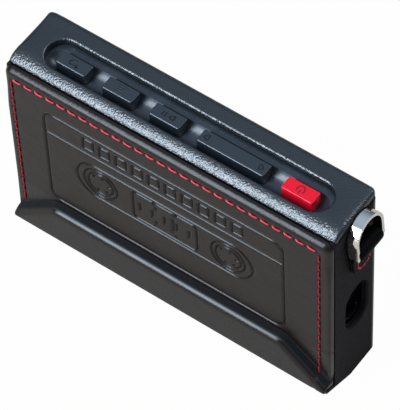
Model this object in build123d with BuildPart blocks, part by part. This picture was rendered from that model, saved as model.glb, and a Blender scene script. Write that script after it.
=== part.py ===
from build123d import *
import os
from math import asin, atan2, cos, degrees, pi, sin, tan

os.makedirs("parts", exist_ok=True)

# A leather case with the pocket music player that it holds, sizes in millimetres.
# X runs across the case, Y from its embossed back to its front window, Z up.
# The origin lies on the flat of the base, half way between the back and the front.

# The case as a whole
case_w = 100.0
case_d = 20.0
case_h = 67.5
flap_t = 2.05
flap_seat = 0.05
flap_under = case_h - flap_t
rim_z = flap_under - flap_seat
back_y = -case_d / 2
front_y = case_d / 2
side_x = case_w / 2

# Leather, boards and linings
wall_skin = 1.2
lining_t = 0.4
panel_skin = 1.0
board_t = 0.9
front_t = 1.6
fold_over = 1.5
seam_gap = 0.05
wall_t = wall_skin + lining_t
panel_t = panel_skin + board_t
panel_in = back_y + panel_t
panel_play = 0.2
panel_drop = 0.1
corner_r = 2.0
edge_r = 0.6
band_r = 1.3
mouth_r = 0.8
bevel_r = 0.5
front_in = front_y - front_t

# The foot ridge and the slanted underside that lets the case lean back
ridge_out = 2.8
ridge_run = 0.6
ridge_crest_z = 17.4
ridge_hip_run = 14.0
ridge_crest_x = side_x - ridge_hip_run
ridge_toe_x = side_x - 0.7
ridge_toe_z = 6.6
ridge_foot_z = 4.6
crease_r = 1.0
crest_r = 1.1
toe_r = 0.7
knee_y = -1.1
ridge_y = back_y - ridge_out
lean = atan2(ridge_foot_z, knee_y - ridge_y)
hip = atan2(ridge_crest_z - ridge_toe_z, ridge_toe_x - ridge_crest_x)

# The player, seated on a foam pad and held against the window by another
player_gap = 0.1
pad_play = 0.3
pad_r = 2.0
player_z = 3.7
player_top = rim_z - 0.2
back_pad_t = 2.5
player_back = panel_in + back_pad_t
player_front = front_in - player_gap
player_x = side_x - wall_t - player_gap
shell_t = 1.5
top_wall = 3.5
glass_t = 1.1
display_t = 1.4
display_rim = 1.0
glass_rim = 0.9
glass_r = 1.2
shell_r = 1.0
cavity_back = player_back + shell_t
cavity_top = player_top - top_wall
cavity_floor = player_z + shell_t
cavity_x = player_x - shell_t
glass_in = player_front - glass_t
display_back = glass_in - display_t

# The main board stands on bosses, and the sockets on its face reach to the display
pcb_t = 1.0
board_rise = 0.7
socket_gap = 0.2
main_back = cavity_back + board_rise
board_face = main_back + pcb_t
socket_d = display_back - socket_gap - board_face

# The flap over the player's top, with its slot, back lip and tongue
flap_x = side_x - 0.6
flap_round = 3.0
lip_y = panel_in + 0.5
lip_t = 1.0
lip_drop = 2.15
lip_z = flap_under - lip_drop
lip_play = 0.2
tongue_t = 0.9
tongue_drop = 5.55
tongue_z = flap_under - tongue_drop
slot_end = 7.0
slot_rail = 5.2
slot_len = case_w - 2 * slot_end
slot_w = case_d - 2 * slot_rail
slot_y = 0.4
hem = 0.8
slot_hem = 0.6
slot_edge_r = 0.3
flap_edge_r = 0.4
tongue_inset = 6.0
tongue_r = 1.5
fold_r = 1.0
fold_gap = 0.06
fold_neck = 1.0
fold_reach = fold_neck / 2 + 0.2
fold_y = front_y - fold_r
fold_z = case_h - fold_r
magnet_r = 1.8
magnet_in = 20.0
magnet_x = side_x - magnet_in
magnet_z = tongue_z + magnet_r + 0.3

# The key channel and its keys
channel_end = 0.7
channel_side = 1.5
channel_len = slot_len - 2 * channel_end
channel_w = slot_w - 2 * channel_side
channel_depth = 2.0
channel_y = -0.1
key_w = 9.25
rocker_w = 20.1
key_end = 3.25
key_gap = (channel_len - 2 * key_end - 4 * key_w - rocker_w) / 4
key_side = 1.3
key_d = channel_w - 2 * key_side
key_top = case_h - 0.35
key_play = 0.12
key_r = 0.5
key_edge_r = 0.3
key_flange = 0.8
flange_t = 0.8
key_travel = 0.4
rocker_tilt = 1.5
rocker_drop = 0.35
stem_r = 1.1
switch_r = 1.6
switch_t = 1.1
switch_bevel = 0.3
strip_t = 0.8
strip_top = player_top - top_wall - 3.5
ledge = 2.0
ledge_t = 1.2
knuckle_r = 0.5
rocker_stem_x = 7.0

# The ring, its strap and the sockets behind the side slot
ring_y = 2.1
ring_z = rim_z - 8.8
ring_r = 5.75
ring_leg = 4.6
ring_band = 2.8
ring_t = 0.9
bar_r = 0.8
bar_play = 0.05
roll_r = 2.2
foot_play = 0.1
bridge_t = 1.2
ring_x = side_x + roll_r + foot_play
ring_clear = 0.06
strap_t = 1.4
strap_w = 9.2
strap_tip_w = 7.0
strap_len = 11.6
strap_end_z = ring_z - strap_len
strap_shoulder = 4.0
strap_r = 2.0
port_y = board_face + socket_d / 2
port_z = 28.4
port_w = 9.2
port_h = 16.0
jack_pitch = 8.0
small_bore_r = 1.8
small_depth = 14.0
large_bore_r = 2.3
large_depth = 16.5
socket_h = 7.6
collar_wall = 1.1
usb_x = -8.0
usb_y = 2.4
usb_w = 9.0
usb_t = 3.2
usb_len = 7.4
usb_slot_w = 12.6
usb_slot_d = 5.2
usb_shell = 0.3
usb_tongue_w = 6.4
usb_tongue_t = 0.7
usb_step = 1.0

# The boards, screws, shield cans and battery inside the player
board_edge = 0.6
board_low_rise = 2.3
board_high_z = strip_top - 2.7
board_left_x = 4.0
boss_inset = 3.0
boss_r = 2.2
screw_r = 0.8
screw_head_r = 1.5
screw_head_t = 0.7
port_board_w = 20.0
port_board_h = 10.0
rib_t = 1.2
can_w = 11.0
can_h = 12.0
can_t = 2.0
can_r = 0.6
can_edge = 3.2
can_gap = 3.5
battery_gap = 2.5
battery_t = display_back - battery_gap - cavity_back
battery_edge = 2.2
battery_low = 11.8

# The window in the front and the motif pressed into the back
window_side = 7.0
window_w = case_w - 2 * window_side
window_low = 9.45
window_top = player_top - 6.25
window_h = window_top - window_low
window_z = (window_top + window_low) / 2
window_r = 3.0
press_w = 0.5
press_depth = 0.3
motif_x = -0.7
label_side = 13.1
label_w = case_w - 2 * label_side
label_h = 36.0
label_z = 37.9
label_r = 3.0
header_h = 8.0
hub_r = 5.3
hub_pitch = 39.7
hub_z = 37.5
pill_w = 54.6
pill_h = 13.2
pane_w = 19.8
pane_h = 10.4
pane_r = 1.0
tooth_w = 1.3


def under_z(y, lift=0.0):
    """Height of the slanted underside at y, raised square to it by lift."""
    return (knee_y - y) * tan(lean) + lift / cos(lean)


def knee_in(lift):
    """Where the flat and the slanted underside meet, raised by lift."""
    return knee_y + lift * tan(lean / 2)


def ridge_outline(grow):
    """Corners of the ridge's trapezoid in X and Z, grown outward by grow."""
    low = -2 * ridge_toe_z
    top = ridge_crest_z + grow
    corner = ridge_crest_x + grow * tan(hip / 2)
    foot = corner + (top - low) / tan(hip)
    return [(-foot, low), (foot, low), (corner, top), (-corner, top)]


def save(part, name):
    part.label = name
    export_step(part, f"parts/{name}.step")


# The ridge's outer form and the core inside its skin, as lofts along Y
slope_shift = panel_skin * (ridge_out**2 + ridge_run**2) ** 0.5 / ridge_out
core_out = ridge_y + panel_skin
core_in = back_y + panel_skin


def ridge_grow(y):
    return ridge_run * (y - ridge_y) / ridge_out


with BuildPart() as ridge_form:
    for y in (back_y, ridge_y):
        with BuildSketch(Plane.XZ.offset(-y)):
            Polygon(*ridge_outline(ridge_grow(y)), align=None)
    loft(ruled=True)

with BuildPart() as core_form:
    for y in (core_in, core_out):
        with BuildSketch(Plane.XZ.offset(-y)):
            Polygon(*ridge_outline(ridge_grow(y) - slope_shift), align=None)
    loft(ruled=True)
    with BuildSketch(Plane.XZ.offset(-core_in)):
        with Locations((0, case_h / 2)):
            Rectangle(2 * (side_x - wall_skin), 2 * case_h)
    extrude(amount=2 * ridge_out, both=True, mode=Mode.INTERSECT)
    with BuildSketch(Plane.YZ):
        with BuildLine():
            Polyline(
                (2 * ridge_y, under_z(2 * ridge_y, wall_skin)),
                (knee_y, under_z(knee_y, wall_skin)),
                (knee_y, -case_d),
                (2 * ridge_y, -case_d),
                close=True,
            )
        make_face()
    extrude(amount=case_w, both=True, mode=Mode.SUBTRACT)

# The embossed back panel: leather over a board, its edge folded round the board
with BuildPart() as back_panel:
    with BuildSketch(Plane.XZ.offset(-back_y)):
        with Locations((0, rim_z - panel_drop)):
            Rectangle(2 * (side_x - panel_play), rim_z, align=(Align.CENTER, Align.MAX))
    extrude(amount=-panel_t)
    upper_corners = back_panel.edges().filter_by(Axis.Y).group_by(Axis.Z)[-1]
    fillet(upper_corners, radius=corner_r)
    add(ridge_form.part)
    with BuildSketch(Plane.XZ.offset(-back_y)):
        with Locations((0, rim_z)):
            Rectangle(2 * (side_x - panel_play), 4 * case_h)
    extrude(amount=2 * ridge_out, both=True, mode=Mode.INTERSECT)
    creases = back_panel.edges().filter_by_position(Axis.Y, back_y, back_y)
    creases = creases.filter_by_position(Axis.Z, ridge_toe_z, ridge_crest_z + ridge_run + 0.1)
    fillet([e for e in creases if abs((e @ 0.5).X) < side_x - 1], radius=crease_r)
    crests = back_panel.edges().filter_by_position(Axis.Y, ridge_y, ridge_y)
    crests = crests.filter_by_position(Axis.Z, ridge_toe_z, ridge_crest_z + 0.1)
    fillet([e for e in crests if abs((e @ 0.5).X) < side_x - 0.3], radius=crest_r)
    with BuildSketch(Plane.YZ):
        with BuildLine():
            Polyline(
                (2 * ridge_y, under_z(2 * ridge_y)),
                (core_out, under_z(core_out)),
                (core_out, under_z(core_out, wall_skin)),
                (0, under_z(0, wall_skin)),
                (0, -case_d),
                (2 * ridge_y, -case_d),
                close=True,
            )
        make_face()
    extrude(amount=case_w, both=True, mode=Mode.SUBTRACT)
    tips = back_panel.edges().filter_by(Axis.X).filter_by_position(Axis.Y, ridge_y - 0.01, ridge_y + 0.01)
    fillet(tips.sort_by(Axis.Z)[0], radius=toe_r)
    rims = back_panel.edges().filter_by_position(Axis.Y, back_y - 0.01, back_y + 0.01)
    rims = [e for e in rims if (e @ 0.5).Z > rim_z - corner_r - 0.5 or abs((e @ 0.5).X) > side_x - 0.3]
    fillet(rims, radius=edge_r)
    add(core_form.part, mode=Mode.SUBTRACT)
    with BuildSketch(Plane.XZ.offset(-panel_in)):
        with Locations((0, rim_z - panel_drop - fold_over)):
            Rectangle(2 * (side_x - fold_over), case_h, align=(Align.CENTER, Align.MAX))
    extrude(amount=board_t, mode=Mode.SUBTRACT)
    label_top = label_z + label_h / 2
    with BuildSketch(Plane.XZ.offset(-back_y)):
        with Locations((motif_x, label_z)):
            RectangleRounded(label_w, label_h, label_r)
            offset(amount=-press_w, mode=Mode.SUBTRACT)
        with Locations((motif_x, label_top - header_h)):
            Rectangle(label_w - press_w, press_w)
        with Locations((motif_x, hub_z)):
            SlotOverall(pill_w, pill_h)
            SlotOverall(pill_w - 2 * press_w, pill_h - 2 * press_w, mode=Mode.SUBTRACT)
            RectangleRounded(pane_w, pane_h, pane_r)
            RectangleRounded(pane_w - 2 * press_w, pane_h - 2 * press_w, pane_r - press_w, mode=Mode.SUBTRACT)
        with Locations((motif_x - hub_pitch / 2, hub_z), (motif_x + hub_pitch / 2, hub_z)):
            Circle(hub_r)
            Circle(hub_r - press_w, mode=Mode.SUBTRACT)
            with PolarLocations(hub_r / 2, 6):
                Rectangle(tooth_w, press_w)
    extrude(amount=-press_depth, mode=Mode.SUBTRACT)
save(back_panel.part, "back_panel")

with BuildPart() as ridge_core:
    add(core_form.part)
save(ridge_core.part, "ridge_core")

with BuildPart() as back_board:
    board_low = under_z(panel_in, wall_skin) + lining_t
    board_high = rim_z - panel_drop - fold_over - seam_gap
    board_half = side_x - fold_over - seam_gap
    with BuildSketch(Plane.XZ.offset(-panel_in)):
        with Locations((0, board_high)):
            Rectangle(2 * board_half, board_high - board_low, align=(Align.CENTER, Align.MAX))
    extrude(amount=board_t)
    with Locations(Plane.XZ.offset(-panel_in)):
        with Locations((-magnet_x, magnet_z), (magnet_x, magnet_z)):
            Cylinder(magnet_r + seam_gap, 4 * board_t, mode=Mode.SUBTRACT)
save(back_board.part, "back_board")

with BuildPart() as case_magnets:
    with BuildSketch(Plane.XZ.offset(-panel_in)):
        with Locations((-magnet_x, magnet_z), (magnet_x, magnet_z)):
            Circle(magnet_r)
    extrude(amount=board_t)
save(case_magnets.part, "case_magnets")

# The band: both side walls and the base with its slanted underside, in one piece
with BuildPart() as side_band:
    with BuildSketch(Plane.YZ):
        with BuildLine():
            Polyline(
                (front_in, 0),
                (knee_y, 0),
                (core_out, under_z(core_out)),
                (core_out, under_z(core_out, wall_skin)),
                (panel_in, under_z(panel_in, wall_skin)),
                (panel_in, rim_z),
                (front_in, rim_z),
                close=True,
            )
        make_face()
    extrude(amount=side_x, both=True)
    rim_edges = side_band.edges().filter_by(Axis.Y).group_by(Axis.Z)[-1]
    fillet(rim_edges, radius=band_r)
    with BuildSketch(Plane.YZ):
        with BuildLine():
            Polyline(
                (front_in, wall_skin),
                (knee_in(wall_skin), wall_skin),
                (core_out - 1, under_z(core_out - 1, wall_skin)),
                (core_out - 1, rim_z - fold_over),
                (front_in, rim_z - fold_over),
                close=True,
            )
        make_face()
    extrude(amount=side_x - wall_skin, both=True, mode=Mode.SUBTRACT)
    with Locations((0, 0, rim_z)):
        Box(2 * (side_x - wall_t), 2 * case_d, 2 * fold_over + 0.2, mode=Mode.SUBTRACT)
    with BuildSketch(Plane.YZ.offset(side_x)):
        with Locations((port_y, port_z)):
            SlotOverall(port_h, port_w, rotation=90)
    extrude(amount=-2 * wall_skin, mode=Mode.SUBTRACT)
    mouth = side_band.edges().filter_by_position(Axis.X, side_x, side_x)
    mouth = mouth.filter_by_position(Axis.Z, port_z - port_h / 2 - 0.1, port_z + port_h / 2 + 0.1)
    fillet([e for e in mouth if abs((e @ 0.5).Y - port_y) < port_w / 2 + 0.1], radius=mouth_r)
    with BuildSketch(Plane.XY):
        with Locations((usb_x, usb_y)):
            SlotOverall(usb_slot_w, usb_slot_d)
    extrude(amount=2 * wall_skin, mode=Mode.SUBTRACT)
save(side_band.part, "side_band")

with BuildPart() as wall_lining:
    with BuildSketch(Plane.YZ):
        with BuildLine():
            Polyline(
                (front_in, wall_skin),
                (knee_in(wall_skin), wall_skin),
                (panel_in, under_z(panel_in, wall_skin)),
                (panel_in, rim_z - fold_over),
                (front_in, rim_z - fold_over),
                close=True,
            )
        make_face()
    extrude(amount=side_x - wall_skin, both=True)
    with BuildSketch(Plane.YZ):
        with BuildLine():
            Polyline(
                (front_in, wall_t),
                (knee_in(wall_t), wall_t),
                (panel_in, under_z(panel_in, wall_t)),
                (panel_in, rim_z),
                (front_in, rim_z),
                close=True,
            )
        make_face()
    extrude(amount=side_x - wall_t, both=True, mode=Mode.SUBTRACT)
    with BuildSketch(Plane.YZ.offset(side_x)):
        with Locations((port_y, port_z)):
            SlotOverall(port_h - 2 * lining_t, port_w - 2 * lining_t, rotation=90)
    extrude(amount=-2 * wall_t, mode=Mode.SUBTRACT)
    with BuildSketch(Plane.XY):
        with Locations((usb_x, usb_y)):
            SlotOverall(usb_slot_w, usb_slot_d)
    extrude(amount=2 * wall_t, mode=Mode.SUBTRACT)
save(wall_lining.part, "wall_lining")

# The front panel, a leather frame round the player's screen
with BuildPart() as front_panel:
    panel_high = rim_z - 0.3
    with BuildSketch(Plane.XZ.offset(-front_y)):
        with Locations((0, panel_high / 2)):
            Rectangle(case_w, panel_high)
        with Locations((0, window_z)):
            RectangleRounded(window_w, window_h, window_r, mode=Mode.SUBTRACT)
    extrude(amount=front_t)
    corners = front_panel.edges().filter_by(Axis.Z).group_by(Axis.Y)[-1]
    corners = [e for e in corners if abs((e @ 0.5).X) > side_x - 0.1]
    base_edge = front_panel.edges().filter_by(Axis.X).group_by(Axis.Y)[-1].sort_by(Axis.Z)[0]
    fillet([*corners, base_edge], radius=band_r)
    bevel = front_panel.edges().filter_by_position(Axis.Y, front_y, front_y)
    bevel = bevel.filter_by_position(Axis.Z, window_z - window_h / 2 - 0.1, window_z + window_h / 2 + 0.1)
    fillet([e for e in bevel if abs((e @ 0.5).X) < window_w / 2 + 0.1], radius=bevel_r)
save(front_panel.part, "front_panel")

# The leather fold that the flap swings about
with BuildPart() as hinge_fold:
    with BuildSketch(Plane.YZ):
        with Locations((fold_y, fold_z)):
            Circle(fold_r)
        with Locations((fold_y, panel_high)):
            Rectangle(fold_neck, fold_z - panel_high, align=(Align.CENTER, Align.MIN))
    extrude(amount=side_x - panel_play, both=True)
save(hinge_fold.part, "hinge_fold")

# The flap: a folded leather skin with a board and a lining let into its underside
with BuildPart() as flap_leather:
    with BuildSketch(Plane.YZ):
        with BuildLine():
            Polyline(
                (lip_y, case_h - flap_round),
                (lip_y, lip_z),
                (lip_y + lip_t, lip_z),
                (lip_y + lip_t, flap_under),
                (fold_y - fold_reach, flap_under),
                (fold_y - fold_reach, case_h),
                (lip_y + flap_round, case_h),
            )
            RadiusArc((lip_y + flap_round, case_h), (lip_y, case_h - flap_round), -flap_round)
        make_face()
        with Locations((fold_y, fold_z)):
            Circle(fold_r + fold_gap, mode=Mode.SUBTRACT)
    extrude(amount=flap_x, both=True)
    lip_cut = 2 * wall_t
    lip_x = side_x - wall_t - lip_play + lip_cut / 2
    with Locations((-lip_x, 0, flap_under), (lip_x, 0, flap_under)):
        Box(lip_cut, case_d, 2 * flap_t, align=(Align.CENTER, Align.CENTER, Align.MAX), mode=Mode.SUBTRACT)
    with BuildSketch(Plane.XY.offset(case_h)):
        with Locations((0, slot_y)):
            SlotOverall(slot_len, slot_w)
    extrude(amount=-2 * flap_t, mode=Mode.SUBTRACT)
    slot_edge = flap_leather.edges().filter_by_position(Axis.Z, case_h, case_h)
    slot_edge = slot_edge.filter_by_position(Axis.Y, slot_y - slot_w / 2 - 0.1, slot_y + slot_w / 2 + 0.1)
    fillet([e for e in slot_edge if abs((e @ 0.5).X) < slot_len / 2 + 0.1], radius=slot_edge_r)
    side_edges = flap_leather.edges().filter_by_position(Axis.X, flap_x, flap_x)
    side_edges += flap_leather.edges().filter_by_position(Axis.X, -flap_x, -flap_x)
    side_edges = [e for e in side_edges if (e @ 0.5).Z > case_h - 0.6 * flap_t]
    fillet([e for e in side_edges if (e @ 0.5).Y < fold_y - fold_r - 0.1], radius=flap_edge_r)
    with BuildSketch(Plane.XY.offset(flap_under)) as pocket:
        with Locations((0, (lip_y + lip_t + hem + fold_y - fold_r - hem) / 2)):
            Rectangle(2 * (flap_x - hem), fold_y - fold_r - 2 * hem - lip_y - lip_t)
        with Locations((0, slot_y)):
            SlotOverall(slot_len + 2 * slot_hem, slot_w + 2 * slot_hem, mode=Mode.SUBTRACT)
    extrude(amount=flap_t - panel_skin, mode=Mode.SUBTRACT)
save(flap_leather.part, "flap_leather")


def flap_layer(low, high, name):
    """A flat layer in the flap's pocket, round the slot."""
    with BuildPart() as layer:
        with BuildSketch(Plane.XY.offset(low)):
            add(pocket.sketch.faces().sort_by(Axis.Z)[-1].moved(Location((0, 0, -flap_under))))
            offset(amount=-seam_gap, kind=Kind.INTERSECTION, mode=Mode.REPLACE)
        extrude(amount=high - low)
    save(layer.part, name)


flap_layer(flap_under, flap_under + lining_t, "flap_lining")
flap_layer(flap_under + lining_t, case_h - panel_skin, "flap_board")

with BuildPart() as flap_tongue:
    tongue_y = lip_y + lip_t
    with BuildSketch(Plane.XZ.offset(-tongue_y)):
        with Locations((0, flap_under)):
            Rectangle(2 * (flap_x - tongue_inset), flap_under - tongue_z, align=(Align.CENTER, Align.MAX))
    extrude(amount=-tongue_t)
    fillet(flap_tongue.edges().filter_by(Axis.Y).group_by(Axis.Z)[0], radius=tongue_r)
    with Locations(Plane.XZ.offset(-tongue_y)):
        with Locations((-magnet_x, magnet_z), (magnet_x, magnet_z)):
            Cylinder(magnet_r + seam_gap, 4 * tongue_t, mode=Mode.SUBTRACT)
save(flap_tongue.part, "flap_tongue")

with BuildPart() as flap_magnets:
    with BuildSketch(Plane.XZ.offset(-tongue_y)):
        with Locations((-magnet_x, magnet_z), (magnet_x, magnet_z)):
            Circle(magnet_r)
    extrude(amount=-tongue_t)
save(flap_magnets.part, "flap_magnets")

# The pads that seat the player
with BuildPart() as base_pad:
    pad_back = knee_in(wall_t) + pad_play
    with BuildSketch(Plane.XY.offset(wall_t)):
        with Locations((0, pad_back)):
            Rectangle(2 * (player_x - 1), front_in - pad_play - pad_back, align=(Align.CENTER, Align.MIN))
        with Locations((usb_x, usb_y)):
            SlotOverall(usb_slot_w, usb_slot_d, mode=Mode.SUBTRACT)
    extrude(amount=player_z - wall_t)
save(base_pad.part, "base_pad")

with BuildPart() as back_pad:
    pad_low = under_z(panel_in, wall_t) + pad_r
    with BuildSketch(Plane.XZ.offset(-player_back)):
        with Locations((0, pad_low)):
            Rectangle(2 * (player_x - 1), tongue_z - pad_play - pad_low, align=(Align.CENTER, Align.MIN))
    extrude(amount=player_back - panel_in)
    fillet(back_pad.edges().filter_by(Axis.Y), radius=pad_r)
save(back_pad.part, "back_pad")

# The ring leans on the wall; its straight bar turns in the rolled strap
arch = ring_leg + ring_r
ring_lean = asin((ring_x - ring_band / 2 - side_x - ring_clear) / arch)
ring_plane = Plane(
    origin=(ring_x, ring_y, ring_z), x_dir=(0, 1, 0), z_dir=(cos(ring_lean), 0, sin(ring_lean))
)


def d_shape(radius, bottom):
    """A D shape: two legs and a round arch, its legs starting at bottom."""
    with BuildSketch(Plane.XY) as shape:
        with BuildLine():
            Polyline((radius, ring_leg), (radius, bottom), (-radius, bottom), (-radius, ring_leg))
            ThreePointArc((-radius, ring_leg), (0, ring_leg + radius), (radius, ring_leg))
        make_face()
    return shape.sketch


with BuildPart() as ring:
    with BuildSketch(ring_plane):
        add(d_shape(ring_r, -bar_r - 0.1))
        add(d_shape(ring_r - ring_t, -2 * arch), mode=Mode.SUBTRACT)
    extrude(amount=ring_band / 2, both=True)
    lower = ring.edges().filter_by(Axis((0, 0, 0), ring_plane.z_dir)).sort_by(Axis.Z)[:4]
    fillet(lower, radius=0.48 * ring_t)
    with Locations(Plane(origin=(ring_x, ring_y, ring_z), x_dir=(1, 0, 0), z_dir=(0, 1, 0))):
        Cylinder(bar_r, 2 * (ring_r - ring_t / 2))
save(ring.part, "ring")

with BuildPart() as ring_strap:
    roll_plane = Plane(origin=(ring_x, ring_y, ring_z), x_dir=(1, 0, 0), z_dir=(0, 1, 0))
    with Locations(roll_plane):
        Cylinder(roll_r, strap_w)
    with BuildSketch(Plane.YZ.offset(side_x)):
        with BuildLine():
            Polyline(
                (ring_y - strap_w / 2, ring_z),
                (ring_y - strap_w / 2, ring_z - strap_shoulder),
                (ring_y - strap_tip_w / 2, strap_end_z),
                (ring_y + strap_tip_w / 2, strap_end_z),
                (ring_y + strap_w / 2, ring_z - strap_shoulder),
                (ring_y + strap_w / 2, ring_z),
                close=True,
            )
        make_face()
    extrude(amount=strap_t)
    tips = ring_strap.edges().filter_by(Axis.X).group_by(Axis.Z)[0]
    fillet(tips, radius=strap_r)
    with Locations((side_x, ring_y, ring_z)):
        Box(ring_x - side_x, strap_w, bridge_t, align=(Align.MIN, Align.CENTER, Align.MAX))
    with Locations(roll_plane):
        Cylinder(bar_r + bar_play, 2 * strap_w, mode=Mode.SUBTRACT)
save(ring_strap.part, "ring_strap")

# The player's housing, open at the front, with the key channel sunk in its top
key_x = []
left = -(4 * key_w + rocker_w + 4 * key_gap) / 2
for width in (key_w, key_w, key_w, rocker_w, key_w):
    key_x.append(left + width / 2)
    left += width + key_gap
channel_floor = player_top - channel_depth
half_w = channel_w / 2
trough_r = (half_w**2 + channel_depth**2) / (2 * channel_depth)
trough_z = channel_floor + trough_r

with BuildPart() as channel:
    run = channel_len / 2 - half_w
    with BuildSketch(Plane.YZ):
        with Locations((channel_y, trough_z)):
            Circle(trough_r)
        with Locations((channel_y, player_top)):
            Rectangle(2 * trough_r, trough_r, align=(Align.CENTER, Align.MIN), mode=Mode.SUBTRACT)
    extrude(amount=run, both=True)
    with Locations((-run, channel_y, trough_z), (run, channel_y, trough_z)):
        Sphere(trough_r)
    with Locations((0, channel_y, player_top)):
        Box(case_w, channel_w, trough_r, align=(Align.CENTER, Align.CENTER, Align.MIN), mode=Mode.SUBTRACT)

with BuildPart() as player_housing:
    with BuildSketch(Plane.XZ.offset(-player_back)):
        with Locations((0, (player_z + player_top) / 2)):
            RectangleRounded(2 * player_x, player_top - player_z, shell_r)
    extrude(amount=-(player_front - player_back))
    fillet(player_housing.faces().sort_by(Axis.Y)[0].edges(), radius=0.9 * shell_r)
    with BuildSketch(Plane.XZ.offset(-cavity_back)):
        with Locations((0, (cavity_floor + cavity_top) / 2)):
            RectangleRounded(2 * cavity_x, cavity_top - cavity_floor, shell_r)
    extrude(amount=-case_d, mode=Mode.SUBTRACT)
    with BuildSketch(Plane.XZ.offset(-glass_in)):
        with Locations((0, (player_z + player_top) / 2)):
            RectangleRounded(2 * (player_x - glass_rim), player_top - player_z - 2 * glass_rim, glass_r)
    extrude(amount=-case_d, mode=Mode.SUBTRACT)
    add(channel.part, mode=Mode.SUBTRACT)
    with BuildSketch(Plane.XY.offset(player_top)):
        for x, width in zip(key_x, (key_w, key_w, key_w, rocker_w, key_w)):
            with Locations((x, channel_y)):
                RectangleRounded(width + 2 * key_play, key_d + 2 * key_play, key_r + key_play)
    extrude(amount=-2 * top_wall, mode=Mode.SUBTRACT)
    with BuildSketch(Plane.YZ.offset(player_x)):
        with Locations((port_y, port_z + jack_pitch / 2)):
            Circle(small_bore_r + collar_wall + player_gap)
        with Locations((port_y, port_z - jack_pitch / 2)):
            Circle(large_bore_r + collar_wall + player_gap)
    extrude(amount=-2 * shell_t, mode=Mode.SUBTRACT)
    with BuildSketch(Plane.XY.offset(player_z)):
        with Locations((usb_x, usb_y)):
            SlotOverall(usb_w + 2 * player_gap, usb_t + 2 * player_gap)
    extrude(amount=2 * shell_t, mode=Mode.SUBTRACT)
    strip_low = strip_top - strip_t
    with Locations((-cavity_x, channel_y, strip_low), (cavity_x - ledge, channel_y, strip_low)):
        Box(ledge, channel_w, ledge_t, align=(Align.MIN, Align.CENTER, Align.MAX))

# The boards stand on bosses and ribs of the housing
main_x0, main_x1 = board_left_x, cavity_x - board_edge
main_z0, main_z1 = cavity_floor + board_low_rise, board_high_z
boss_x = (main_x0 + boss_inset, main_x1 - boss_inset)
boss_z = (main_z0 + boss_inset, main_z1 - boss_inset)
boss_spots = [(x, z) for x in boss_x for z in boss_z]
port_board_y = usb_y - usb_t / 2 - pcb_t
with BuildPart(mode=Mode.PRIVATE) as bosses:
    with BuildSketch(Plane.XZ.offset(-cavity_back)):
        with Locations(*boss_spots):
            Circle(boss_r)
    extrude(amount=-(main_back - cavity_back))
    for x in (usb_x - port_board_w / 2 + rib_t, usb_x + port_board_w / 2 - rib_t):
        with Locations((x, cavity_back, cavity_floor)):
            Box(rib_t, port_board_y - cavity_back, port_board_h, align=(Align.CENTER, Align.MIN, Align.MIN))
    with BuildSketch(Plane.XZ.offset(-main_back)):
        with Locations(*boss_spots):
            Circle(screw_r)
    extrude(amount=board_rise, mode=Mode.SUBTRACT)
player_housing.part = player_housing.part + bosses.part
save(player_housing.part, "player_housing")

with BuildPart() as main_board:
    with BuildSketch(Plane.XZ.offset(-main_back)):
        with Locations(((main_x0 + main_x1) / 2, (main_z0 + main_z1) / 2)):
            RectangleRounded(main_x1 - main_x0, main_z1 - main_z0, 1.0)
        with Locations(*boss_spots):
            Circle(screw_r, mode=Mode.SUBTRACT)
    extrude(amount=-pcb_t)
save(main_board.part, "main_board")

with BuildPart() as board_screws:
    with BuildSketch(Plane.XZ.offset(-board_face)):
        with Locations(*boss_spots):
            Circle(screw_head_r)
    extrude(amount=-screw_head_t)
    with BuildSketch(Plane.XZ.offset(-board_face)):
        with Locations(*boss_spots):
            Circle(screw_r)
    extrude(amount=pcb_t + 0.9 * board_rise)
save(board_screws.part, "board_screws")

can_left = main_x0 + can_edge + can_w / 2
can_high = main_z1 - 2 * can_edge - can_h / 2
can_low = main_z0 + 2 * can_edge + can_h / 2
can_spots = [(can_left, can_high), (can_left + can_w + can_gap, can_high), (can_left, can_low)]
with BuildPart() as shield_cans:
    with BuildSketch(Plane.XZ.offset(-board_face)):
        with Locations(*can_spots):
            RectangleRounded(can_w, can_h, can_r)
    extrude(amount=-can_t)
save(shield_cans.part, "shield_cans")

with BuildPart() as battery:
    battery_x0 = -cavity_x + battery_edge
    battery_z0 = cavity_floor + battery_low
    with Locations((battery_x0, cavity_back, battery_z0)):
        Box(
            board_left_x - battery_edge - battery_x0,
            battery_t,
            board_high_z - battery_z0,
            align=(Align.MIN, Align.MIN, Align.MIN),
        )
    fillet(battery.edges().filter_by(Axis.Z), radius=1.2)
save(battery.part, "battery")


def socket(name, z, bore_r, depth):
    """A plug socket on the board, its collar flush with the housing's side."""
    with BuildPart() as jack:
        with Locations((cavity_x, board_face, z)):
            Box(depth + 0.8 - shell_t, socket_d, socket_h, align=(Align.MAX, Align.MIN, Align.CENTER))
        fillet(jack.edges().filter_by(Axis.X), radius=0.5)
        with BuildSketch(Plane.YZ.offset(cavity_x)):
            with Locations((port_y, z)):
                Circle(bore_r + collar_wall)
        extrude(amount=shell_t)
        with BuildSketch(Plane.YZ.offset(player_x)):
            with Locations((port_y, z)):
                Circle(bore_r)
        extrude(amount=-depth, mode=Mode.SUBTRACT)
    save(jack.part, name)


socket("small_jack", port_z + jack_pitch / 2, small_bore_r, small_depth)
socket("large_jack", port_z - jack_pitch / 2, large_bore_r, large_depth)

with BuildPart() as port_board:
    with Locations((usb_x, port_board_y, cavity_floor)):
        Box(port_board_w, pcb_t, port_board_h, align=(Align.CENTER, Align.MIN, Align.MIN))
save(port_board.part, "port_board")

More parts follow.
